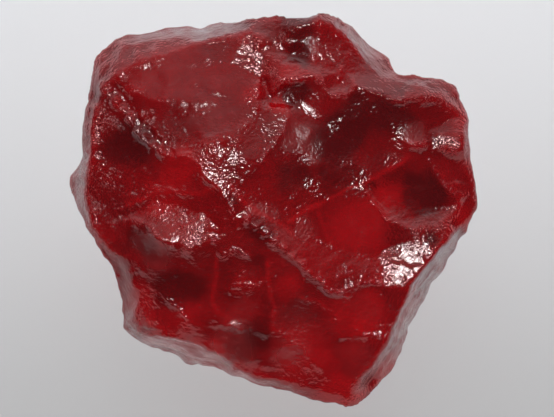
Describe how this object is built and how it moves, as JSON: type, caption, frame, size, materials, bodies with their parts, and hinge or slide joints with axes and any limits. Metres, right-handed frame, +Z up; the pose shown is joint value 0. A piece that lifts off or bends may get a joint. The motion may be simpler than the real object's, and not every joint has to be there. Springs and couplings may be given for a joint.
{
  "type": "rough pyrope garnet",
  "caption": "Rough broken lump of deep red, see-through pyrope garnet, with scooped fracture faces, ledges and sharp ridges. It lies on a flat face.",
  "frame": {"origin": "middle of the bottom of the bounding box, on the ground that the stone lies on", "axes": "+Z up from the flat face the stone lies on, +X along its length, and -Y towards the side that its large scooped face leans to"},
  "size_m": [0.016, 0.014, 0.012],
  "materials": {
    "garnet": "deep red see-through crystal with a glassy, rippled and finely pitted broken surface"
  },
  "bodies": {
    "root": {"garnet": "garnet"}
  },
  "joints": []
}
